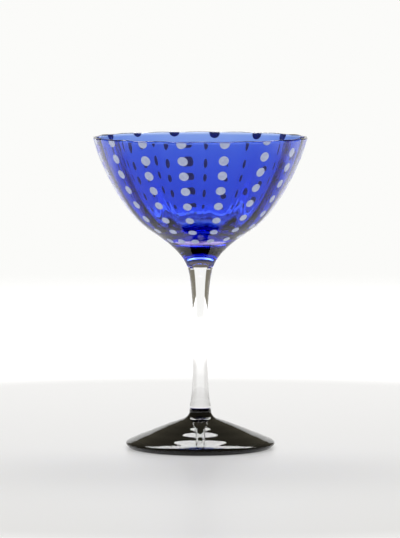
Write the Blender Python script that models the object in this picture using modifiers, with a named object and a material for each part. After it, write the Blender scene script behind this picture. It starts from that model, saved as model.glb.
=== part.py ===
"""Stemmed cocktail glass, blown by hand, as the separate pieces of glass it is fused from.

A dark blue foot, a drawn clear stem and a bowl of two layers stand on one axis. The bowl is a thin blue
bubble, with the blue glass left thick in a plug under the cavity, inside a clear casing that runs down
to the stem. White glass beads lie on the outside of the casing in sixteen upright columns of eight. A
node is one closed body, so the eight beads of a column are joined here by a fine thread of the same
white glass.

Metres, +Z up, origin at the centre of the foot's resting ring. Azimuths turn from -Y towards +X.
"""

import math

import bmesh
import bpy
from mathutils import Matrix, Vector

MM = 0.001

# Driving dimensions
RIM_HEIGHT = 154.6 * MM
RIM_RADIUS = 53.0 * MM
WALL = 1.9 * MM  # bowl wall at the rim, both layers and the gap between them
BUBBLE_WALL = 0.7 * MM  # the blue layer of it
CAVITY_BOTTOM = 107.5 * MM  # lowest point inside the bowl
NECK_HEIGHT = 89.5 * MM  # edge of the joint between the casing and the stem
NECK_RADIUS = 6.2 * MM
NECK_DOME = 1.6 * MM  # how far the stem's end swells up into the casing
COLLAR_HEIGHT = 18.7 * MM  # joint between the stem and the foot
COLLAR_RADIUS = 5.4 * MM
FOOT_RADIUS = 37.0 * MM
RING_INNER_RADIUS = 30.0 * MM  # the foot rests on a flat ring outside this
FOOT_HOLLOW = 3.0 * MM  # height of the hollow under the foot
JOINT_GAP = 0.3 * MM  # between two pieces that are fused on the real glass

# Beads
COLUMNS = 16
ROWS = 8
FIRST_AZIMUTH = math.radians(-9.5)
ROW_PITCH = 8.75 * MM  # along the bowl's outside
FIRST_ROW = 1.75 * MM  # from the rim down to the first row, which the rim cuts through
BEAD_RADIUS_TOP = 2.6 * MM
BEAD_RADIUS_BOTTOM = 1.85 * MM
BEAD_THICKNESS = 0.5 * MM
THREAD_RADIUS = 0.22 * MM
# (azimuth, width, lift) of the two places where the columns were drawn up as the bowl was blown
PULLS = [
    (math.radians(62), math.radians(32), 3.5 * MM),
    (math.radians(207), math.radians(30), 1.5 * MM),
]

# Facets
BOWL_STEPS = 48
STEM_STEPS = 24
BEAD_SIDES = 10

# (radius, height) down the outside of the casing, from the rim to the neck
BOWL_OUTSIDE = [
    (RIM_RADIUS, RIM_HEIGHT),
    (48.6 * MM, 141.0 * MM),
    (41.4 * MM, 127.0 * MM),
    (31.9 * MM, 114.0 * MM),
    (20.4 * MM, 105.0 * MM),
    (10.9 * MM, 97.0 * MM),
    (7.8 * MM, 93.0 * MM),
    (NECK_RADIUS, NECK_HEIGHT),
]
# the same down the inside of the bubble, from the lip to the bottom of the cavity
BOWL_INSIDE = [
    (RIM_RADIUS - WALL, RIM_HEIGHT),
    (46.6 * MM, 141.6 * MM),
    (39.5 * MM, 128.3 * MM),
    (30.0 * MM, 116.2 * MM),
    (20.5 * MM, 110.4 * MM),
    (12.0 * MM, 108.6 * MM),
    (6.0 * MM, 107.8 * MM),
    (0.0, CAVITY_BOTTOM),
]
# up the side of the plug of blue glass under the cavity, from the axis
PLUG_SIDE = [
    (0.0, 96.0 * MM),
    (2.3 * MM, 96.3 * MM),
    (2.9 * MM, 100.0 * MM),
    (3.2 * MM, 104.0 * MM),
    (4.6 * MM, 106.4 * MM),
]
STEM_SIDE = [
    (NECK_RADIUS, NECK_HEIGHT),
    (5.2 * MM, 85.0 * MM),
    (4.1 * MM, 74.0 * MM),
    (3.6 * MM, 60.0 * MM),
    (3.65 * MM, 45.0 * MM),
    (4.1 * MM, 29.0 * MM),
    (COLLAR_RADIUS, COLLAR_HEIGHT),
]
FOOT_TOP = [
    (COLLAR_RADIUS, COLLAR_HEIGHT),
    (5.5 * MM, 17.4 * MM),
    (6.6 * MM, 16.0 * MM),
    (8.9 * MM, 14.3 * MM),
    (12.6 * MM, 13.0 * MM),
    (22.9 * MM, 9.1 * MM),
    (33.0 * MM, 5.0 * MM),
    (35.6 * MM, 3.9 * MM),
]
# round the thin edge of the foot, from its top to the resting ring
FOOT_EDGE = [
    (36.6 * MM, 3.2 * MM),
    (FOOT_RADIUS, 2.4 * MM),
    (36.6 * MM, 1.5 * MM),
    (35.7 * MM, 0.6 * MM),
    (34.8 * MM, 0.0),
]


def clear_scene():
    for thing in list(bpy.data.objects):
        bpy.data.objects.remove(thing, do_unlink=True)


def collection(name):
    made = bpy.data.collections.new(name)
    bpy.context.scene.collection.children.link(made)
    return made


def glass(name, color, roughness, transmission):
    material = bpy.data.materials.new(name)
    material.use_nodes = True
    shader = material.node_tree.nodes["Principled BSDF"]
    shader.inputs["Base Color"].default_value = (*color, 1.0)
    shader.inputs["Roughness"].default_value = roughness
    shader.inputs["Metallic"].default_value = 0.0
    shader.inputs["IOR"].default_value = 1.5
    shader.inputs["Transmission Weight"].default_value = transmission
    return material


def between(a, b, c, d, t):
    """The Catmull-Rom value that share t of the way from b to c, where a comes before and d after."""
    bend = 2 * a - 5 * b + 4 * c - d
    twist = 3 * b - a - 3 * c + d
    return 0.5 * (2 * b + (c - a) * t + bend * t**2 + twist * t**3)


def smooth_line(points, steps):
    """A curve through (radius, height) points, with that many steps from each to the next."""
    ends = [points[0], *points, points[-1]]
    line = []
    for corners in zip(ends, ends[1:], ends[2:], ends[3:]):
        radii, heights = zip(*corners)
        for step in range(steps):
            t = step / steps
            line.append((between(*radii, t), between(*heights, t)))
    return [*line, points[-1]]


def dome(radius, height, rise, steps):
    """(radius, height) points of a shallow dome, from just inside its edge up to the axis."""
    return [
        (radius * (1 - k / steps), height + rise * (1 - (1 - k / steps) ** 2))
        for k in range(1, steps + 1)
    ]


def arc(centre, radius, start_deg, end_deg, steps):
    return [
        (centre[0] + radius * math.cos(a), centre[1] + radius * math.sin(a))
        for a in (
            math.radians(start_deg + (end_deg - start_deg) * k / steps)
            for k in range(steps + 1)
        )
    ]


def turned(name, profile, steps, material, home):
    """A solid turned about +Z, from a profile that starts and ends on the axis."""
    mesh = bpy.data.meshes.new(name)
    points = [(x, 0.0, z) for x, z in profile]
    mesh.from_pydata(points, [(k, k + 1) for k in range(len(points) - 1)], [])
    piece = bpy.data.objects.new(name, mesh)
    home.objects.link(piece)
    mesh.materials.append(material)
    screw = piece.modifiers.new("turn", "SCREW")
    screw.axis = "Z"
    screw.angle = 2 * math.pi
    screw.steps = steps
    screw.render_steps = steps
    screw.use_merge_vertices = True
    screw.merge_threshold = 0.00001
    screw.use_smooth_shade = True
    return piece


def beside(line, distance):
    """A line that starts on the axis, moved to its right as it runs."""
    moved = [(0.0, line[0][1] - distance)]
    for before, here, after in zip(line, line[1:], [*line[2:], line[-1]]):
        run = math.dist(before, after)
        right, up = (after[1] - before[1]) / run, (before[0] - after[0]) / run
        moved.append((here[0] + right * distance, here[1] + up * distance))
    return moved


def cavity():
    """Up the inside of the bubble, from the axis to just under the lip."""
    return [p for p in reversed(smooth_line(BOWL_INSIDE, 2)) if p[1] < RIM_HEIGHT - WALL]


def bubble_outside():
    """Up the outside of the blue glass: the plug, then the wall."""
    return PLUG_SIDE + [p for p in beside(cavity(), BUBBLE_WALL) if p[0] > 1.2 * PLUG_SIDE[-1][0]]


def lip(outer_radius, thickness):
    round_lip = thickness / 2
    return arc((outer_radius - round_lip, RIM_HEIGHT - round_lip), round_lip, 180, 0, 4)


def make_bowl(material, home):
    rim = lip(RIM_RADIUS - WALL + BUBBLE_WALL, BUBBLE_WALL)
    turned("bowl", [*cavity(), *rim, *reversed(bubble_outside())], BOWL_STEPS, material, home)


def make_casing(material, home):
    outside = [p for p in smooth_line(BOWL_OUTSIDE, 2) if p[1] < RIM_HEIGHT - WALL]
    rim = lip(RIM_RADIUS, WALL - BUBBLE_WALL - JOINT_GAP)
    seat = dome(NECK_RADIUS, NECK_HEIGHT, NECK_DOME, 4)
    turned("casing", [*beside(bubble_outside(), JOINT_GAP), *rim, *outside, *seat], BOWL_STEPS, material, home)


def make_stem(material, home):
    top = NECK_HEIGHT - JOINT_GAP
    bottom = COLLAR_HEIGHT + JOINT_GAP
    side = [p for p in smooth_line(STEM_SIDE, 3) if bottom < p[1] < top]
    crown = dome(NECK_RADIUS - 0.1 * MM, top, NECK_DOME, 4)
    profile = [*reversed(crown), (NECK_RADIUS - 0.1 * MM, top), *side, (COLLAR_RADIUS, bottom), (0.0, bottom)]
    turned("stem", profile, STEM_STEPS, material, home)


def make_foot(material, home):
    profile = [
        (0.0, COLLAR_HEIGHT),
        *smooth_line(FOOT_TOP, 2),
        *FOOT_EDGE,
        (RING_INNER_RADIUS, 0.0),
        *dome(RING_INNER_RADIUS, 0.0, FOOT_HOLLOW, 5),
    ]
    turned("foot", profile, BOWL_STEPS, material, home)


def place_on_bowl(line, distance):
    """(point, outward normal) on a line of (radius, height) points, that far along it from its start."""
    for start, end in zip(line, line[1:]):
        step = math.dist(start, end)
        if distance <= step or end == line[-1]:
            share = distance / step
            along = ((end[0] - start[0]) / step, (end[1] - start[1]) / step)
            point = (start[0] + share * (end[0] - start[0]), start[1] + share * (end[1] - start[1]))
            return point, (-along[1], along[0])
        distance -= step
    raise ValueError("the line has no length")


def lift_at(azimuth):
    """How far the beads at an azimuth are drawn up from their even places."""
    total = 0.0
    for centre, width, lift in PULLS:
        away = math.remainder(azimuth - centre, 2 * math.pi)
        total += lift * math.exp(-((away / width) ** 2))
    return total


def helper(name, shape, helpers):
    """An object for a Boolean modifier to read, from a bmesh."""
    mesh = bpy.data.meshes.new(name)
    shape.to_mesh(mesh)
    shape.free()
    piece = bpy.data.objects.new(name, mesh)
    piece.hide_render = True
    piece.display_type = "WIRE"
    helpers.objects.link(piece)
    return piece


def combine(target, other, operation):
    """Adds a helper's solid to target or cuts it away, and removes the helper."""
    boolean = target.modifiers.new("combine", "BOOLEAN")
    boolean.operation = operation
    boolean.object = other
    graph = bpy.context.evaluated_depsgraph_get()
    mesh = bpy.data.meshes.new_from_object(target.evaluated_get(graph))
    target.modifiers.clear()
    target.data = mesh
    bpy.data.objects.remove(other, do_unlink=True)


def beads(places, helpers):
    """Discs at the given (matrix, radius) places, as one helper."""
    shape = bmesh.new()
    for matrix, radius in places:
        bmesh.ops.create_cone(
            shape,
            cap_ends=True,
            segments=BEAD_SIDES,
            radius1=radius,
            radius2=radius,
            depth=BEAD_THICKNESS,
            matrix=matrix,
        )
    return helper("beads", shape, helpers)


def above_rim(helpers):
    """The space above the rim, where the beads were cut off with the glass."""
    depth = 10 * MM
    shape = bmesh.new()
    size = Matrix.Diagonal((3 * RIM_RADIUS, 3 * RIM_RADIUS, depth, 1.0))
    place = Matrix.Translation((0.0, 0.0, RIM_HEIGHT - 0.2 * MM + depth / 2))
    bmesh.ops.create_cube(shape, size=1.0, matrix=place @ size)
    return helper("above_rim", shape, helpers)


def thread(name, points, home):
    """The thread that a column's beads sit on: a curve made a mesh, with its caps welded on."""
    curve = bpy.data.curves.new("thread", "CURVE")
    curve.dimensions = "3D"
    curve.bevel_depth = THREAD_RADIUS
    curve.bevel_resolution = 0
    curve.use_fill_caps = True
    spline = curve.splines.new("POLY")
    spline.points.add(len(points) - 1)
    for knot, point in zip(spline.points, points):
        knot.co = (*point, 1.0)
    guide = bpy.data.objects.new("thread_guide", curve)
    home.objects.link(guide)
    graph = bpy.context.evaluated_depsgraph_get()
    mesh = bpy.data.meshes.new_from_object(guide.evaluated_get(graph))
    shape = bmesh.new()
    shape.from_mesh(mesh)
    bmesh.ops.remove_doubles(shape, verts=shape.verts, dist=0.01 * MM)
    bmesh.ops.recalc_face_normals(shape, faces=shape.faces)
    shape.to_mesh(mesh)
    shape.free()
    bpy.data.objects.remove(guide, do_unlink=True)
    piece = bpy.data.objects.new(name, mesh)
    home.objects.link(piece)
    return piece


def make_bead_column(number, material, home, helpers):
    azimuth = FIRST_AZIMUTH + 2 * math.pi * number / COLUMNS
    outward = Vector((math.sin(azimuth), -math.cos(azimuth), 0.0))
    meridian = smooth_line(BOWL_OUTSIDE, 12)
    stand_off = JOINT_GAP + BEAD_THICKNESS / 2

    def on_surface(distance):
        (radius, height), (out, up) = place_on_bowl(meridian, distance)
        normal = (outward * out + Vector((0.0, 0.0, up))).normalized()
        return outward * radius + Vector((0.0, 0.0, height)) + normal * stand_off, normal

    rows = [FIRST_ROW - lift_at(azimuth) + ROW_PITCH * row for row in range(ROWS)]
    knots = [on_surface(rows[0] + ROW_PITCH * k / 2)[0] for k in range(2 * ROWS - 1)]
    column = thread(f"bead_column_{number + 1:02d}", knots, home)
    places = []
    for row, distance in enumerate(rows):
        centre, normal = on_surface(distance)
        radius = BEAD_RADIUS_TOP + (BEAD_RADIUS_BOTTOM - BEAD_RADIUS_TOP) * row / (ROWS - 1)
        turn = normal.to_track_quat("Z", "Y").to_matrix().to_4x4()
        places.append((Matrix.Translation(centre) @ turn, radius))
    combine(column, beads(places, helpers), "UNION")
    combine(column, above_rim(helpers), "DIFFERENCE")
    column.data.materials.clear()
    column.data.materials.append(material)


def main():
    clear_scene()
    home = collection("martini_glass")
    helpers = collection("cutters")
    blue = glass("cobalt_glass", (0.05, 0.12, 0.75), 0.02, 1.0)
    clear = glass("clear_glass", (0.95, 0.96, 0.95), 0.02, 1.0)
    dark = glass("dark_blue_glass", (0.01, 0.01, 0.05), 0.02, 0.6)
    white = glass("white_glass", (0.85, 0.86, 0.90), 0.15, 0.0)
    make_bowl(blue, home)
    make_casing(clear, home)
    make_stem(clear, home)
    make_foot(dark, home)
    for number in range(COLUMNS):
        make_bead_column(number, white, home, helpers)


main()
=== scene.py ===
import math
import random

import bmesh
import bpy
import numpy as np
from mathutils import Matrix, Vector


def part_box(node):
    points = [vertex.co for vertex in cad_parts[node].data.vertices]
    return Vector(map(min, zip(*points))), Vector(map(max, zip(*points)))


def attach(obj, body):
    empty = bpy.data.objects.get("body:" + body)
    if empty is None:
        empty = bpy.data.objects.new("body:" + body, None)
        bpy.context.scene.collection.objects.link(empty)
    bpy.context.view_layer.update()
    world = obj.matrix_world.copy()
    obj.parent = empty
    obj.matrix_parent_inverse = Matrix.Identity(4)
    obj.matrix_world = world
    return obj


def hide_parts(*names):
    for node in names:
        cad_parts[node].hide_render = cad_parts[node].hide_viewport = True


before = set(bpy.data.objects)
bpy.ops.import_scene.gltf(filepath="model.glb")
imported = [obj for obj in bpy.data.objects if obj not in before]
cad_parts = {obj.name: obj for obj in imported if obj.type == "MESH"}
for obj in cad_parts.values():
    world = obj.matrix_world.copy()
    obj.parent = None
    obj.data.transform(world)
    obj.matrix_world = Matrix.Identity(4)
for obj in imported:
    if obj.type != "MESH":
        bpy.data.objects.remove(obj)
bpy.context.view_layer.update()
mm = 0.001

# places that the frame gives
casingLow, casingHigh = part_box("casing")
rimHeight = casingHigh.z
rimRadius = casingHigh.x
neckHeight = casingLow.z
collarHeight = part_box("foot")[1].z

columns = 16
firstAzimuth = math.radians(-9.5)  # of the first bead column, from the front round to the right


def toLinear(hexColour, alpha=1.0):
    parts = [int(hexColour[k : k + 2], 16) / 255 for k in (1, 3, 5)]
    return (*[c / 12.92 if c <= 0.04045 else ((c + 0.055) / 1.055) ** 2.4 for c in parts], alpha)


def addNode(tree, kind, inputs=None, **settings):
    # a node with its settings, then its sockets filled with values or linked
    node = tree.nodes.new(kind)
    for name, value in settings.items():
        setattr(node, name, value)
    for key, value in (inputs or {}).items():
        if isinstance(value, bpy.types.NodeSocket):
            tree.links.new(value, node.inputs[key])
        else:
            node.inputs[key].default_value = value
    return node


def mathIn(tree):
    # a short way to add Math nodes to one tree
    def calc(operation, *values):
        return addNode(tree, "ShaderNodeMath", dict(enumerate(values)), operation=operation).outputs[0]

    return calc


def addSockets(tree, inputs):
    # a tree's own sockets: geometry in, then the named inputs, and geometry out
    face = tree.interface
    face.new_socket("Geometry", in_out="INPUT", socket_type="NodeSocketGeometry")
    for name, kind in inputs.items():
        face.new_socket(name, in_out="INPUT", socket_type="NodeSocket" + kind)
    face.new_socket("Geometry", in_out="OUTPUT", socket_type="NodeSocketGeometry")


def emptyMaterial(name):
    material = bpy.data.materials.new(name)
    material.use_nodes = True
    material.node_tree.nodes.clear()
    return material


def addObject(name, data):
    item = bpy.data.objects.new(name, data)
    bpy.context.scene.collection.objects.link(item)
    return item


def smoothThrough(points, count):
    # a natural cubic spline through (radius, height) points, at even steps of its length
    knots = np.array(points, dtype=float)
    run = np.concatenate([[0.0], np.cumsum(np.linalg.norm(np.diff(knots, axis=0), axis=1))])
    gaps = np.diff(run)
    size = len(knots)
    system = np.eye(size)
    right = np.zeros((size, 2))
    for k in range(1, size - 1):
        system[k, k - 1 : k + 2] = gaps[k - 1], 2 * (gaps[k - 1] + gaps[k]), gaps[k]
        right[k] = 6 * ((knots[k + 1] - knots[k]) / gaps[k] - (knots[k] - knots[k - 1]) / gaps[k - 1])
    bends = np.linalg.solve(system, right)
    line = []
    for place in np.linspace(0.0, run[-1], count):
        k = min(int(np.searchsorted(run, place, side="right")) - 1, size - 2)
        h = gaps[k]
        a = (run[k + 1] - place) / h
        b = 1 - a
        curved = ((a**3 - a) * bends[k] + (b**3 - b) * bends[k + 1]) * h * h / 6
        line.append(tuple(a * knots[k] + b * knots[k + 1] + curved))
    return line


def domeLine(radius, height, rise, count):
    # from its edge up to the axis
    shares = np.linspace(0.0, 1.0, count)
    return [(radius * (1 - s), height + rise * (1 - (1 - s) ** 2)) for s in shares]


def turningTree():
    # turns a profile, a line of vertices from pole to pole, about +Z; its ribs run down the glass
    tree = bpy.data.node_groups.new("Turn With Ribs", "GeometryNodeTree")
    addSockets(
        tree,
        {
            "Segments": "Int",
            "Ribs": "Int",
            "Rib Azimuth": "Float",
            "Rib Depth": "Float",
            "Rib Pull": "Float",
            "Pull Azimuth": "Float",
            "Rim Wave": "Float",
            "Material": "Material",
        },
    )
    given = addNode(tree, "NodeGroupInput").outputs
    calc = mathIn(tree)
    size = addNode(tree, "GeometryNodeAttributeDomainSize", {0: given["Geometry"]}, component="MESH")
    rows = size.outputs["Point Count"]
    grid = addNode(
        tree,
        "GeometryNodeMeshGrid",
        {"Size X": 1.0, "Size Y": 1.0, "Vertices X": calc("ADD", given["Segments"], 1.0), "Vertices Y": rows},
    )
    place = addNode(tree, "ShaderNodeSeparateXYZ", {0: addNode(tree, "GeometryNodeInputPosition").outputs[0]})
    turn = calc("MULTIPLY", calc("ADD", place.outputs["X"], 0.5), 2 * math.pi)
    last = calc("SUBTRACT", rows, 1.0)
    row = calc("ROUND", calc("MULTIPLY", calc("ADD", place.outputs["Y"], 0.5), last))

    def fromProfile(kind, value):
        return addNode(
            tree,
            "GeometryNodeSampleIndex",
            {"Geometry": given["Geometry"], "Value": value, "Index": row},
            data_type=kind,
            domain="POINT",
        ).outputs[0]

    def named(name):
        return addNode(tree, "GeometryNodeInputNamedAttribute", {"Name": name}, data_type="FLOAT").outputs[0]

    point = fromProfile("FLOAT_VECTOR", addNode(tree, "GeometryNodeInputPosition").outputs[0])
    point = addNode(tree, "ShaderNodeSeparateXYZ", {0: point}).outputs
    # the ribs stand a little aside where the glass was drawn, over some 40 degrees each way
    facing = calc("MAXIMUM", calc("COSINE", calc("SUBTRACT", turn, given["Pull Azimuth"])), 0.0)
    aside = calc("MULTIPLY_ADD", calc("POWER", facing, 8.0), given["Rib Pull"], given["Rib Azimuth"])
    wave = calc("COSINE", calc("MULTIPLY", calc("SUBTRACT", turn, aside), given["Ribs"]))
    # 0 on a rib and 1 in the middle of the flute beside it
    flute = calc("MULTIPLY_ADD", wave, -0.5, 0.5)
    ribShare = fromProfile("FLOAT", named("ribShare"))
    rimShare = fromProfile("FLOAT", named("rimShare"))
    rib = calc("MULTIPLY", calc("MULTIPLY", flute, given["Rib Depth"]), ribShare)
    rim = calc("MULTIPLY", calc("MULTIPLY", wave, given["Rim Wave"]), rimShare)
    radius = calc("ADD", point["X"], rib)
    turned = addNode(
        tree,
        "ShaderNodeCombineXYZ",
        {
            "X": calc("MULTIPLY", radius, calc("SINE", turn)),
            "Y": calc("MULTIPLY", radius, calc("MULTIPLY", calc("COSINE", turn), -1.0)),
            "Z": calc("SUBTRACT", point["Z"], rim),
        },
    )
    fused = fromProfile("FLOAT", named("fused"))
    marked = addNode(
        tree,
        "GeometryNodeStoreNamedAttribute",
        {"Geometry": grid.outputs["Mesh"], "Name": "fused", "Value": fused},
        data_type="FLOAT",
        domain="FACE",
    )
    shaped = addNode(
        tree, "GeometryNodeSetPosition", {"Geometry": marked.outputs[0], "Position": turned.outputs[0]}
    )
    closed = addNode(
        tree, "GeometryNodeMergeByDistance", {"Geometry": shaped.outputs[0], "Distance": 0.001 * mm}
    )
    smooth = addNode(tree, "GeometryNodeSetShadeSmooth", {"Geometry": closed.outputs[0]})
    real = addNode(tree, "GeometryNodeRealizeInstances", {"Geometry": smooth.outputs[0]})
    painted = addNode(
        tree, "GeometryNodeSetMaterial", {"Geometry": real.outputs[0], "Material": given["Material"]}
    )
    addNode(tree, "NodeGroupOutput", {"Geometry": painted.outputs[0]})
    return tree


def runTree(name, source, tree, values):
    # the tree's result on a source mesh as a plain mesh object, with the source removed
    source.modifiers.new("nodes", "NODES").node_group = tree
    names = {
        s.name: s.identifier
        for s in tree.interface.items_tree
        if s.item_type == "SOCKET" and s.in_out == "INPUT"
    }
    for key, value in values.items():
        source.modifiers["nodes"][names[key]] = value
    graph = bpy.context.evaluated_depsgraph_get()
    mesh = bpy.data.meshes.new_from_object(source.evaluated_get(graph))
    mesh.name = name
    bpy.data.objects.remove(source)
    return addObject(name, mesh)


def placePiece(piece, node):
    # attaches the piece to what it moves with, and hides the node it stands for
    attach(piece, "root")
    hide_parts(node)


def turnPiece(name, profile, segments, material, ribs=None):
    # profile: (radius, height, rib share, rim share, fused) from pole to pole
    mesh = bpy.data.meshes.new(name + "Profile")
    mesh.from_pydata([(p[0], 0.0, p[1]) for p in profile], [(k, k + 1) for k in range(len(profile) - 1)], [])
    for column, attribute in enumerate(("ribShare", "rimShare", "fused"), start=2):
        made = mesh.attributes.new(attribute, "FLOAT", "POINT")
        made.data.foreach_set("value", [p[column] for p in profile])
    source = addObject(name + "Profile", mesh)
    values = {"Segments": segments, "Material": material, **(ribs or {})}
    piece = runTree(name, source, turningNodes, values)
    # a face is fused only where both its rows are
    for item in piece.data.attributes["fused"].data:
        item.value = 1.0 if item.value > 0.99 else 0.0
    shape = bmesh.new()
    shape.from_mesh(piece.data)
    if shape.calc_volume(signed=True) < 0:
        bmesh.ops.reverse_faces(shape, faces=shape.faces)
    shape.to_mesh(piece.data)
    shape.free()
    piece.data.set_sharp_from_angle(angle=math.radians(sharpAngle))
    print(name, len(piece.data.polygons), "faces")
    return piece


sharpAngle = 35  # degrees between two faces, past which the edge between them is drawn sharp
turningNodes = turningTree()


def glassMaterial(name, look):
    # glass with a fire-polished skin; where two pieces are fused no skin is left between them
    material = emptyMaterial(name)
    tree = material.node_tree
    place = addNode(tree, "ShaderNodeTexCoord").outputs["Object"]
    ripple = addNode(
        tree,
        "ShaderNodeTexNoise",
        {"Vector": place, "Scale": 1 / (look["rippleSize"] * mm), "Detail": 1.0, "Roughness": 0.4},
    )
    skin = addNode(
        tree,
        "ShaderNodeBump",
        {
            "Strength": look["rippleStrength"],
            "Distance": look["rippleHeight"] * mm,
            "Height": ripple.outputs["Fac"],
        },
    )
    smear = addNode(
        tree,
        "ShaderNodeTexNoise",
        {"Vector": place, "Scale": 1 / (look["smearSize"] * mm), "Detail": 3.0, "Roughness": 0.6},
    )
    rough = addNode(
        tree,
        "ShaderNodeMapRange",
        {
            "Value": smear.outputs["Fac"],
            "From Min": 0.35,
            "From Max": 0.75,
            "To Min": look["roughness"][0],
            "To Max": look["roughness"][1],
        },
    )
    fused = addNode(tree, "ShaderNodeAttribute", attribute_name="fused").outputs["Fac"]
    bend = addNode(tree, "ShaderNodeMapRange", {"Value": fused, "To Min": look["ior"], "To Max": 1.0})
    shader = addNode(
        tree,
        "ShaderNodeBsdfPrincipled",
        {
            "Base Color": (1.0, 1.0, 1.0, 1.0),
            "Metallic": 0.0,
            "Roughness": rough.outputs[0],
            "IOR": bend.outputs[0],
            "Transmission Weight": 1.0,
            "Normal": skin.outputs[0],
        },
    )
    sockets = {"Surface": shader.outputs[0]}
    if look["density"]:
        body = addNode(
            tree,
            "ShaderNodeVolumeAbsorption",
            {"Color": toLinear(look["bodyColour"]), "Density": look["density"]},
        )
        sockets["Volume"] = body.outputs[0]
    addNode(tree, "ShaderNodeOutputMaterial", sockets)
    return material


bowl = {
    # (radius, height above the neck) down the outside, from the rim to the neck, in mm
    "outside": [
        (53.0, 64.2),
        (51.3, 58.6),
        (48.6, 51.5),
        (45.3, 44.5),
        (41.4, 37.5),
        (36.8, 30.5),
        (31.9, 24.5),
        (26.2, 19.5),
        (20.3, 15.5),
        (15.1, 11.5),
        (10.9, 7.5),
        (7.9, 3.5),
        (6.2, 0.0),
    ],
    # up the inside, from the bottom of the cavity to the rim
    "inside": [
        (0.0, 18.0),
        (6.0, 18.3),
        (12.0, 19.1),
        (20.5, 20.9),
        (30.0, 26.7),
        (39.5, 38.8),
        (46.6, 52.1),
        (51.1, 64.2),
    ],
    # up the side of the blue glass left thick under the cavity, from the axis
    "plug": [
        (0.0, 6.5),
        (1.5, 6.6),
        (2.4, 7.3),
        (2.9, 10.0),
        (3.1, 12.9),
        (2.6, 14.1),
        (1.6, 14.8),
        (1.3, 15.8),
        (1.7, 16.9),
    ],
    "poolRadius": 9.0,  # of the thick blue under the cavity, where the bubble meets it
    "blueWall": 0.86,
    "blueWallAtRim": 0.58,
    "thinning": 5,  # the higher, the nearer the rim the blue layer thins
    "wall": 1.9,
    "neckRadius": 6.2,
    "neckDome": 1.6,
    "segments": 320,
    "fluteDepth": 0.83,
    "ribTurn": -1.35,  # degrees from a bead column to the rib nearest it
    "ribPull": (52, 3.0),  # azimuth where the ribs were drawn aside the most, and by how much, in degrees
    "flutesFrom": 0.28,  # of the way up from the neck to the rim, where they begin
    "flutesFull": 0.36,
    "rimWave": 0.12,  # up on a rib and down in the flute beside it
    "rimWaveFrom": 0.9,  # of the way up, where the wave of the rim begins
    "seam": 0.01,  # between two layers, where each has its own surface
}
# cobalt blue soda-lime glass, blown thin: clear and strongly coloured, nearly black where it lies thick
cobaltLook = {
    "bodyColour": "#389ef6",
    "density": 2500.0,  # per metre
    "ior": 1.5,
    "roughness": (0.0, 0.01),
    "smearSize": 18,
    "rippleSize": 22,
    "rippleHeight": 0.15,
    "rippleStrength": 0.15,
}
# the same glass many times thicker, where its colour goes from blue to a dark violet
plugLook = {
    "bodyColour": "#7b43cf",
    "density": 210.0,
    "ior": 1.5,
    "roughness": (0.0, 0.01),
    "smearSize": 18,
    "rippleSize": 22,
    "rippleHeight": 0.15,
    "rippleStrength": 0.15,
}
# clear soda-lime glass cased over the blue and fire-polished: wet gloss, a faint violet cast where deep
casingLook = {
    "bodyColour": "#9e61f1",
    "density": 14.0,
    "ior": 1.5,
    "roughness": (0.0, 0.01),
    "smearSize": 18,
    "rippleSize": 20,
    "rippleHeight": 0.15,
    "rippleStrength": 0.12,
}


def beside(line, start, end):
    # a line from the axis outwards, moved to its right as it runs, by a distance from start to end
    moved = [(0.0, line[0][1] - start)]
    for k, (before, here, after) in enumerate(zip(line, line[1:], [*line[2:], line[-1]]), start=1):
        run = math.dist(before, after)
        distance = start + (end - start) * (k / len(line)) ** bowl["thinning"]
        right, up = (after[1] - before[1]) / run, (before[0] - after[0]) / run
        moved.append((here[0] + right * distance, here[1] + up * distance))
    return moved


def lipRows(centre, radius, startDeg, endDeg, count):
    # an arc of the round lip; the flutes fade over it from the inside to the outside
    rows = []
    for deg in np.linspace(startDeg, endDeg, count):
        angle = math.radians(deg)
        place = (centre[0] + radius * math.cos(angle), centre[1] + radius * math.sin(angle))
        rows.append((*place, (1 - math.cos(angle)) / 2, 1.0, 0.0))
    return rows


def fromNeck(line):
    # a line in mm above the neck, in metres above the table
    return [(r * mm, neckHeight + z * mm) for r, z in line]


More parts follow.
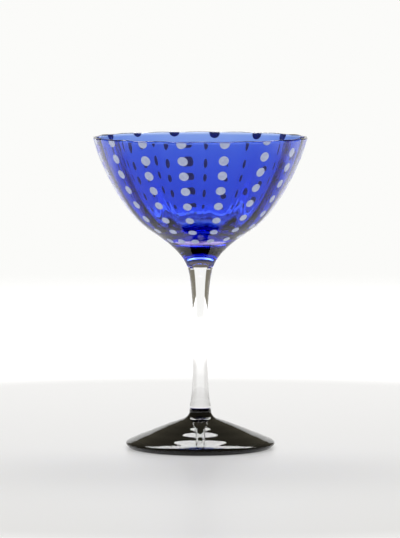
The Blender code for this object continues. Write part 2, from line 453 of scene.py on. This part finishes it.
def makeBowl():
    seam = bowl["seam"] * mm
    height = rimHeight - neckHeight
    lipRadius = bowl["wall"] / 2 * mm
    lipCentre = (rimRadius - lipRadius, rimHeight - lipRadius)
    inside = [p for p in smoothThrough(fromNeck(bowl["inside"]), 110) if p[1] < lipCentre[1]]
    outside = [p for p in smoothThrough(fromNeck(bowl["outside"]), 110) if p[1] < lipCentre[1]]
    inside[0] = (0.0, inside[0][1])
    # the lip is round, and the layers part on it
    parting = math.degrees(math.acos(1 - 2 * bowl["blueWallAtRim"] / bowl["wall"]))
    blueLip = lipRows(lipCentre, lipRadius, 180, 180 - parting, 8)
    clearLip = lipRows(lipCentre, lipRadius, 180 - parting, 0, 8)
    blueOutside = beside(inside, bowl["blueWall"] * mm, bowl["blueWallAtRim"] * mm)
    plug = smoothThrough(fromNeck(bowl["plug"]), 40)
    plug[0] = (0.0, plug[0][1])
    joint = next(k for k, p in enumerate(inside) if p[0] > bowl["poolRadius"] * mm)
    flare = next(k for k, p in enumerate(blueOutside) if p[0] > 1.2 * plug[-1][0])
    border = plug + blueOutside[flare:]
    seat = domeLine(bowl["neckRadius"] * mm, neckHeight, bowl["neckDome"] * mm, 10)[1:]

    def fluted(line, fused=0.0):
        # rows whose flutes come in over a short way, and whose rim waves near the top
        rows = []
        waveFrom = bowl["rimWaveFrom"]
        for r, z in line:
            share = (z - neckHeight) / height
            flute = (share - bowl["flutesFrom"]) / (bowl["flutesFull"] - bowl["flutesFrom"])
            flute = min(1.0, max(0.0, flute))
            rim = max(0.0, (share - waveFrom) / (1 - waveFrom))
            rows.append((r, z, flute * flute * (3 - 2 * flute), rim, fused))
        return rows

    def plain(line, fused=0.0):
        return [(r, z, 0.0, rim, fused) for r, z, _, rim, _ in fluted(line)]

    def under(row, across=0.0):
        # the fused start of the seam just below a row of the lip
        return [(row[0] + across, row[1] - seam, row[2], row[3], 1.0)]

    edge = clearLip[0]
    ribs = {
        "Ribs": columns,
        "Rib Azimuth": firstAzimuth + math.radians(bowl["ribTurn"]),
        "Rib Depth": bowl["fluteDepth"] * mm,
        "Rib Pull": math.radians(bowl["ribPull"][1]),
        "Pull Azimuth": math.radians(bowl["ribPull"][0]),
        "Rim Wave": bowl["rimWave"] * mm,
    }
    start = inside[joint]
    # the bubble is a closed ring round the pool of thick blue
    inner = fluted(inside[joint:]) + blueLip + under(edge)
    inner += fluted(blueOutside[joint:][::-1], 1.0)
    inner += plain([(start[0], start[1] - seam)], 1.0) + plain([start])
    piece = turnPiece("bowlBubble", inner, bowl["segments"], cobaltGlass, ribs)
    placePiece(piece, "bowl")

    # the pool under the cavity, and the plug that hangs from it
    middle = plain([*inside[:joint], (start[0] - seam, start[1])])
    middle += plain([(start[0] - seam, start[1] - seam)], 1.0)
    middle += plain([(r - seam, z) for r, z in blueOutside[flare : joint + 1]][::-1] + plug[::-1], 1.0)
    piece = turnPiece("bowlPlug", middle, bowl["segments"], plugGlass)
    placePiece(piece, "bowl")

    outer = fluted(beside(border, seam, seam), 1.0) + under(edge, seam)
    outer += [(edge[0] + seam, *edge[1:])] + clearLip[1:] + plain(outside[:-1])
    outer += plain([outside[-1], *seat], 1.0)
    piece = turnPiece("bowlCasing", outer, bowl["segments"], casingGlass, ribs)
    placePiece(piece, "casing")


cobaltGlass = glassMaterial("cobaltBlownGlass", cobaltLook)
plugGlass = glassMaterial("cobaltThickGlass", plugLook)
casingGlass = glassMaterial("clearCasedGlass", casingLook)
makeBowl()


stem = {
    # (radius, height) from the neck down to the collar, in mm
    "side": [
        (6.2, 89.5),
        (5.25, 85.0),
        (4.6, 80.0),
        (4.1, 74.0),
        (3.65, 66.0),
        (3.6, 56.0),
        (3.65, 46.0),
        (3.8, 38.0),
        (4.15, 28.0),
        (4.95, 22.0),
        (5.4, 18.7),
    ],
    "seam": 0.005,  # to the neck and to the collar
    "segments": 128,
}
# clear soda-lime glass drawn from the hot gather: colourless, with dark edges where it bends the light
clearLook = {
    "bodyColour": "#ffffff",
    "density": 0.0,
    "ior": 1.5,
    "roughness": (0.0, 0.01),
    "smearSize": 14,
    "rippleSize": 9,
    "rippleHeight": 0.1,
    "rippleStrength": 0.1,
}


def makeStem():
    seam = stem["seam"] * mm
    footEnd = collarHeight + seam
    side = smoothThrough([(r * mm, z * mm) for r, z in stem["side"]], 90)
    top = domeLine(bowl["neckRadius"] * mm, neckHeight - seam, bowl["neckDome"] * mm, 10)[::-1]
    profile = [(r, z, 0.0, 0.0, 1.0) for r, z in top]
    profile += [(r, z, 0.0, 0.0, 0.0) for r, z in side[1:-1]]
    profile += [(r, footEnd, 0.0, 0.0, 1.0) for r in (side[-1][0], 0.0)]
    piece = turnPiece("stemGlass", profile, stem["segments"], clearGlass)
    placePiece(piece, "stem")


clearGlass = glassMaterial("clearDrawnGlass", clearLook)
makeStem()


foot = {
    # (radius, height) from the collar out to the edge, in mm
    "top": [
        (5.4, 18.7),
        (5.5, 17.2),
        (6.2, 16.0),
        (7.4, 14.9),
        (9.6, 14.0),
        (12.6, 13.0),
        (18.1, 11.0),
        (23.0, 9.0),
        (28.1, 7.0),
        (33.0, 5.0),
        (35.6, 3.8),
        (36.7, 3.0),
        (37.0, 2.4),
        (36.8, 1.8),
        (36.0, 0.9),
        (35.2, 0.2),
        (34.6, 0.0),
    ],
    "ringRadius": 30.0,
    "hollow": 3.0,
    "segments": 192,
    # rings left by the shaping as the foot was turned
    "ringPitch": 6.8,
    "ringHeight": 0.03,
    "ringsFrom": 8.0,
    "ringsTo": 35.0,
    "ringFadeIn": 2.0,
    "ringFadeOut": 1.0,
}
# cobalt glass worked thick: black on top with a mirror gloss, violet only where it thins at the edge
darkLook = {
    "bodyColour": "#6a3ae0",
    "density": 6500.0,
    "ior": 1.5,
    "roughness": (0.0, 0.02),
    "smearSize": 12,
    "rippleSize": 12,
    "rippleHeight": 0.15,
    "rippleStrength": 0.12,
}


def ringed(point):
    # a point of the foot's top with the shaping rings added to its height
    radius, height = point
    start, end = foot["ringsFrom"] * mm, foot["ringsTo"] * mm
    if height < foot["hollow"] * mm or not start < radius < end:
        return point
    fadeIn = (radius - start) / (foot["ringFadeIn"] * mm)
    fadeOut = (end - radius) / (foot["ringFadeOut"] * mm)
    fade = min(1.0, fadeIn, fadeOut)
    wave = math.sin(2 * math.pi * radius / (foot["ringPitch"] * mm))
    return (radius, height + fade * foot["ringHeight"] * mm * wave)


def makeFoot():
    top = smoothThrough([(r * mm, z * mm) for r, z in foot["top"]], 200)
    top = [ringed((r, max(z, 0.0))) for r, z in top]
    hollow = domeLine(foot["ringRadius"] * mm, 0.0, foot["hollow"] * mm, 30)
    profile = [(0.0, collarHeight, 0.0, 0.0, 1.0), (top[0][0], collarHeight, 0.0, 0.0, 1.0)]
    profile += [(r, z, 0.0, 0.0, 0.0) for r, z in [*top[1:], *hollow]]
    piece = turnPiece("footGlass", profile, foot["segments"], darkGlass)
    placePiece(piece, "foot")


darkGlass = glassMaterial("darkBlueWorkedGlass", darkLook)
makeFoot()


beads = {
    "rows": 8,
    "pitch": 8.7,  # along the bowl's outside, in mm
    "first": 0.85,  # from the start of the outline down to the first row
    "radiusTop": 2.6,
    "radiusBottom": 1.85,
    "proud": 0.07,
    "depth": 0.4,
    "belowRim": 0.6,  # where the first row is cut, on the round lip
    "spare": 5.0,  # how far the outline is carried on past the rim for that row
    "placeJitter": 0.12,  # hand-laid, in mm each way
    "sizeJitter": 0.03,
    "segments": 32,
    "rings": 14,
    "sharpAngle": 50,
    "seed": 5,
    "cloudSize": 1.6,  # faint milky clouds inside one bead, in mm
    # both bead colours carry a blue cast that is painted light, standing for the blue that comes through the
    # bowl behind
    "cloudColourPaintedBlue": "#b4bfe6",
    "colour": "#c9d3f3",
    # (azimuth, width, lift) where the columns were drawn up as the bowl was blown
    "pulls": [(62, 32, 3.5), (207, 30, 1.5)],
    # how far the hand-laid columns stray sideways, in degrees, and the rows upwards, in mm
    "strays": (-0.3, 0, 2.2, 3, 1, -0.5, 1.7, -1.1, 1.3, 1.5, 1.7, 1.8, 0.5, -0.5, -0.5, 0),
    "rowLifts": (0.5, 0.35, 0.9, 1.0, 0.7, 0.3, -0.1, -0.2),
    "twist": 2.2,  # degrees that the bottom row is turned from the top one
}


def beadTree():
    # lays a bead at each point (azimuth, run down the bowl) and bends it to the bowl's outside
    tree = bpy.data.node_groups.new("Beads On Bowl", "GeometryNodeTree")
    addSockets(
        tree,
        {
            "Outline": "Object",
            "Proud": "Float",
            "Depth": "Float",
            "Segments": "Int",
            "Rings": "Int",
            "Material": "Material",
        },
    )
    given = addNode(tree, "NodeGroupInput").outputs
    calc = mathIn(tree)

    def named(name, kind="FLOAT"):
        return addNode(tree, "GeometryNodeInputNamedAttribute", {"Name": name}, data_type=kind).outputs[0]

    def split(vector):
        return addNode(tree, "ShaderNodeSeparateXYZ", {0: vector}).outputs

    def join(x, y, z):
        return addNode(tree, "ShaderNodeCombineXYZ", {0: x, 1: y, 2: z}).outputs[0]

    ball = addNode(
        tree,
        "GeometryNodeMeshUVSphere",
        {"Segments": given["Segments"], "Rings": given["Rings"], "Radius": 1.0},
    )
    centre = addNode(tree, "GeometryNodeInputPosition").outputs[0]
    stored = addNode(
        tree,
        "GeometryNodeStoreNamedAttribute",
        {"Geometry": given["Geometry"], "Name": "middle", "Value": centre},
        data_type="FLOAT_VECTOR",
        domain="POINT",
    )
    laid = addNode(
        tree,
        "GeometryNodeInstanceOnPoints",
        {
            "Points": stored.outputs[0],
            "Instance": ball.outputs["Mesh"],
            "Rotation": join(0.0, 0.0, named("turn")),
            "Scale": join(named("across"), named("along"), 1.0),
        },
    )
    real = addNode(tree, "GeometryNodeRealizeInstances", {"Geometry": laid.outputs[0]})
    middle = split(named("middle", "FLOAT_VECTOR"))
    at = split(addNode(tree, "GeometryNodeInputPosition").outputs[0])
    across = calc("SUBTRACT", at["X"], middle["X"])
    run = at["Y"]
    # a low dome above the glass and a deeper belly inside it
    above = calc("MULTIPLY", at["Z"], given["Proud"])
    below = calc("MULTIPLY", at["Z"], given["Depth"])
    isAbove = calc("GREATER_THAN", at["Z"], 0.0)
    isBelow = calc("SUBTRACT", 1.0, isAbove)
    height = calc("ADD", calc("MULTIPLY", isAbove, above), calc("MULTIPLY", isBelow, below))
    outline = addNode(tree, "GeometryNodeObjectInfo", {"Object": given["Outline"]}).outputs["Geometry"]
    sample = addNode(tree, "GeometryNodeSampleCurve", {"Curves": outline, "Length": run}, mode="LENGTH")
    spot = split(sample.outputs["Position"])
    along = split(sample.outputs["Tangent"])
    # the line runs down the outside, so its left side faces out
    out = calc("MULTIPLY", along["Z"], -1.0)
    up = along["X"]
    radius = calc("ADD", spot["X"], calc("MULTIPLY", out, height))
    azimuth = calc("ADD", middle["X"], calc("DIVIDE", across, spot["X"]))
    placed = join(
        calc("MULTIPLY", radius, calc("SINE", azimuth)),
        calc("MULTIPLY", radius, calc("MULTIPLY", calc("COSINE", azimuth), -1.0)),
        calc("ADD", spot["Z"], calc("MULTIPLY", up, height)),
    )
    bent = addNode(tree, "GeometryNodeSetPosition", {"Geometry": real.outputs[0], "Position": placed})
    smooth = addNode(tree, "GeometryNodeSetShadeSmooth", {"Geometry": bent.outputs[0]})
    painted = addNode(
        tree, "GeometryNodeSetMaterial", {"Geometry": smooth.outputs[0], "Material": given["Material"]}
    )
    addNode(tree, "NodeGroupOutput", {"Geometry": painted.outputs[0]})
    return tree


def beadMaterial():
    # opal soda-lime glass, fire-polished: milky, a little translucent, with faint clouds; its blue cast is
    # painted light, the blue that comes through the bowl behind it
    material = emptyMaterial("opalBeadGlass")
    tree = material.node_tree
    place = addNode(tree, "ShaderNodeTexCoord").outputs["Object"]
    cloud = addNode(
        tree, "ShaderNodeTexNoise", {"Vector": place, "Scale": 1 / (beads["cloudSize"] * mm), "Detail": 2.0}
    )
    colour = addNode(tree, "ShaderNodeValToRGB", {"Fac": cloud.outputs["Fac"]})
    stops = ((0.35, beads["cloudColourPaintedBlue"]), (0.7, beads["colour"]))
    for element, (position, shade) in zip(colour.color_ramp.elements, stops):
        element.position = position
        element.color = toLinear(shade)
    shader = addNode(
        tree,
        "ShaderNodeBsdfPrincipled",
        {"Base Color": colour.outputs["Color"], "Roughness": 0.12, "IOR": 1.5, "Metallic": 0.0},
    )
    addNode(tree, "ShaderNodeOutputMaterial", {"Surface": shader.outputs[0]})
    return material


def bowlGuide():
    # the bowl's outline as a curve, carried on past the rim, because the rim cuts the first row
    outline = smoothThrough(fromNeck(bowl["outside"]), 200)
    spare = beads["spare"] * mm
    start, second = Vector(outline[0]), Vector(outline[1])
    head = start + (start - second).normalized() * spare
    data = bpy.data.curves.new("bowlOutline", "CURVE")
    data.dimensions = "3D"
    spline = data.splines.new("POLY")
    points = [tuple(head), *outline]
    spline.points.add(len(points) - 1)
    for knot, (r, z) in zip(spline.points, points):
        knot.co = (r, 0.0, z, 1.0)
    return addObject("bowlOutline", data)


def beadSpots(name, number, chance):
    # a column's beads as points (azimuth, run down the outline), with each bead's size and turn
    azimuth = firstAzimuth + 2 * math.pi * number / columns
    lift = 0.0
    for centre, width, height in beads["pulls"]:
        away = math.degrees(math.remainder(azimuth - math.radians(centre), 2 * math.pi))
        lift += height * math.exp(-((away / width) ** 2))
    stray = math.radians(beads["strays"][number])
    placeJitter, sizeJitter = beads["placeJitter"], beads["sizeJitter"]
    spots, across, along, turn = [], [], [], []
    for row in range(beads["rows"]):
        share = row / (beads["rows"] - 1)
        radius = (beads["radiusTop"] + (beads["radiusBottom"] - beads["radiusTop"]) * share) * mm
        raised = lift + beads["rowLifts"][row]
        run = (beads["first"] + beads["pitch"] * row - raised + chance.gauss(0, placeJitter)) * mm
        sideways = chance.gauss(0, placeJitter) * mm / rimRadius
        shift = stray + math.radians(beads["twist"]) * share**3 + sideways
        spots.append((azimuth + shift, beads["spare"] * mm + run, 0.0))
        across.append(radius * (1 + chance.gauss(0, sizeJitter)))
        along.append(radius * (1 + chance.gauss(0, sizeJitter)))
        turn.append(chance.uniform(0, math.pi))
    mesh = bpy.data.meshes.new(name + "Spots")
    mesh.from_pydata(spots, [], [])
    for label, values in (("across", across), ("along", along), ("turn", turn)):
        mesh.attributes.new(label, "FLOAT", "POINT").data.foreach_set("value", values)
    return addObject(name + "Spots", mesh)


def cutAtRim(piece):
    # takes off what stands above the rim and closes the cut
    shape = bmesh.new()
    shape.from_mesh(piece.data)
    cut = bmesh.ops.bisect_plane(
        shape,
        geom=[*shape.verts, *shape.edges, *shape.faces],
        plane_co=(0, 0, rimHeight - beads["belowRim"] * mm),
        plane_no=(0, 0, 1),
        clear_outer=True,
    )
    bmesh.ops.holes_fill(shape, edges=[e for e in cut["geom_cut"] if isinstance(e, bmesh.types.BMEdge)])
    bmesh.ops.recalc_face_normals(shape, faces=shape.faces)
    shape.to_mesh(piece.data)
    shape.free()
    piece.data.set_sharp_from_angle(angle=math.radians(beads["sharpAngle"]))


def makeBeads():
    tree = beadTree()
    guide = bowlGuide()
    values = {
        "Outline": guide,
        "Proud": beads["proud"] * mm,
        "Depth": beads["depth"] * mm,
        "Segments": beads["segments"],
        "Rings": beads["rings"],
        "Material": beadMaterial(),
    }
    chance = random.Random(beads["seed"])
    for number in range(columns):
        name = f"beadColumn{number + 1:02d}"
        piece = runTree(name, beadSpots(name, number, chance), tree, values)
        cutAtRim(piece)
        placePiece(piece, f"bead_column_{number + 1:02d}")
    bpy.data.objects.remove(guide)
    print("beads", columns * beads["rows"])


makeBeads()


studio = {
    "floorRadius": 1.1,
    "fadeRadius": 0.3,
    "floorColour": "#a1a1a2",
    # painted light: how much the floor sheet glows near the glass, lifting the table and the shadows on it
    "floorPaintedGlow": 0.385,
    "white": "#fbfbf9",
    "room": "#746f60",  # the dim warm room above the horizon
    "panelHalfWidth": 21.0,  # degrees, of the white panel behind the glass
    "panelTop": 19.0,
    "panelSoft": 0.02,  # how gently its edges fade, as a share
    # the table's extra brightness away from the glass is the sheet's painted glow; low at the sides the world
    # itself is brighter
    "sideLightAndPaintedGlow": 0.65,  # how much brighter the table is away from the glass, and all low at the sides
    "paintedGlowStart": 0.29,
    "paintedGlowFull": 0.4,
    # softbox lying level above and behind
    "boxSize": (1.9, 0.6),
    "boxPlace": (0.0, 0.75, 1.25),
    "boxPower": 26.0,
}


def makeWorld():
    # white below the horizon and on a panel behind, a dim room elsewhere; white wherever it is seen directly
    world = bpy.data.worlds.new("studioTent")
    bpy.context.scene.world = world
    world.use_nodes = True
    tree = world.node_tree
    tree.nodes.clear()

    calc = mathIn(tree)

    def step(value, start, end):
        inputs = {"Value": value, "From Min": start, "From Max": end}
        return addNode(tree, "ShaderNodeMapRange", inputs, interpolation_type="SMOOTHSTEP").outputs[0]

    way = addNode(tree, "ShaderNodeTexCoord").outputs["Generated"]
    way = addNode(tree, "ShaderNodeSeparateXYZ", {0: way}).outputs
    azimuth = calc("ABSOLUTE", calc("ARCTAN2", way["X"], way["Y"]))
    edge = math.radians(studio["panelHalfWidth"])
    top = math.sin(math.radians(studio["panelTop"]))
    soft = studio["panelSoft"]
    offSide = step(azimuth, edge - soft, edge + soft)
    above = step(way["Z"], top - soft, top + soft)
    offPanel = calc("MAXIMUM", offSide, above)
    horizon = step(way["Z"], -0.008, 0.0)
    room = calc("MULTIPLY", offPanel, horizon)
    seen = addNode(tree, "ShaderNodeLightPath").outputs["Is Camera Ray"]
    unseen = calc("SUBTRACT", 1.0, seen)
    share = calc("MULTIPLY", room, unseen)
    colour = addNode(tree, "ShaderNodeMix", {"Factor": share}, data_type="RGBA")
    colour.inputs[6].default_value = toLinear(studio["white"])
    colour.inputs[7].default_value = toLinear(studio["room"])
    low = calc("MULTIPLY", offSide, calc("SUBTRACT", 1.0, horizon))
    low = calc("MULTIPLY", low, unseen)
    strength = calc("MULTIPLY_ADD", low, studio["sideLightAndPaintedGlow"], 1.0)
    light = addNode(tree, "ShaderNodeBackground", {"Color": colour.outputs[2], "Strength": strength})
    addNode(tree, "ShaderNodeOutputWorld", {"Surface": light.outputs[0]})


def makeFloor():
    mesh = bpy.data.meshes.new("floor")
    shape = bmesh.new()
    bmesh.ops.create_circle(shape, cap_ends=True, segments=96, radius=studio["floorRadius"])
    shape.to_mesh(mesh)
    shape.free()
    floor = addObject("floor", mesh)
    # milk-white sheet that glows, which is painted light: weaker near the glass and stronger farther out, so
    # shadows on it stay pale
    material = emptyMaterial("paleSheetPaintedGlow")
    tree = material.node_tree
    place = addNode(tree, "ShaderNodeTexCoord").outputs["Object"]
    away = addNode(tree, "ShaderNodeVectorMath", {0: place}, operation="LENGTH").outputs["Value"]
    fade = addNode(
        tree,
        "ShaderNodeMapRange",
        {"Value": away, "From Min": studio["fadeRadius"], "From Max": studio["floorRadius"] * 0.98},
        interpolation_type="SMOOTHSTEP",
    )
    # the sheet's painted glow, weaker near the glass and stronger farther out
    paintedGlow = addNode(
        tree,
        "ShaderNodeMapRange",
        {
            "Value": away,
            "From Min": studio["paintedGlowStart"],
            "From Max": studio["paintedGlowFull"],
            "To Min": studio["floorPaintedGlow"],
            "To Max": studio["floorPaintedGlow"] + studio["sideLightAndPaintedGlow"],
        },
        interpolation_type="SMOOTHSTEP",
    )
    sheet = addNode(
        tree,
        "ShaderNodeBsdfPrincipled",
        {
            "Base Color": toLinear(studio["floorColour"]),
            "Roughness": 0.35,
            "Specular IOR Level": 0.4,
            "Emission Color": (1.0, 1.0, 1.0, 1.0),
            "Emission Strength": paintedGlow.outputs[0],
        },
    )
    clear = addNode(tree, "ShaderNodeBsdfTransparent")
    blend = {0: fade.outputs[0], 1: sheet.outputs[0], 2: clear.outputs[0]}
    mixed = addNode(tree, "ShaderNodeMixShader", blend)
    addNode(tree, "ShaderNodeOutputMaterial", {"Surface": mixed.outputs[0]})
    mesh.materials.append(material)


def makeLight():
    data = bpy.data.lights.new("softbox", "AREA")
    data.shape = "RECTANGLE"
    data.size, data.size_y = studio["boxSize"]
    data.energy = studio["boxPower"]
    light = addObject("softbox", data)
    light.location = studio["boxPlace"]


viewpoint = {
    "lens": 270,
    "sensorWidth": 36,
    "place": (-0.00015, -1.994, 0.2514),
    "tilt": 85.342,  # degrees from straight down
    "clip": (0.05, 60),
}


def makeCamera():
    data = bpy.data.cameras.new("camera")
    data.lens = viewpoint["lens"]
    data.sensor_width = viewpoint["sensorWidth"]
    data.clip_start, data.clip_end = viewpoint["clip"]
    camera = addObject("camera", data)
    camera.location = viewpoint["place"]
    camera.rotation_euler = (math.radians(viewpoint["tilt"]), 0.0, 0.0)
    bpy.context.scene.camera = camera


makeWorld()
makeFloor()
makeLight()
makeCamera()
scene = bpy.context.scene
scene.view_settings.view_transform = "Standard"
# light has many glass skins to pass
glassBounces = 24
scene.cycles.max_bounces = glassBounces
scene.cycles.transmission_bounces = glassBounces
scene.cycles.transparent_max_bounces = glassBounces
scene.cycles.glossy_bounces = 8
print("studio")
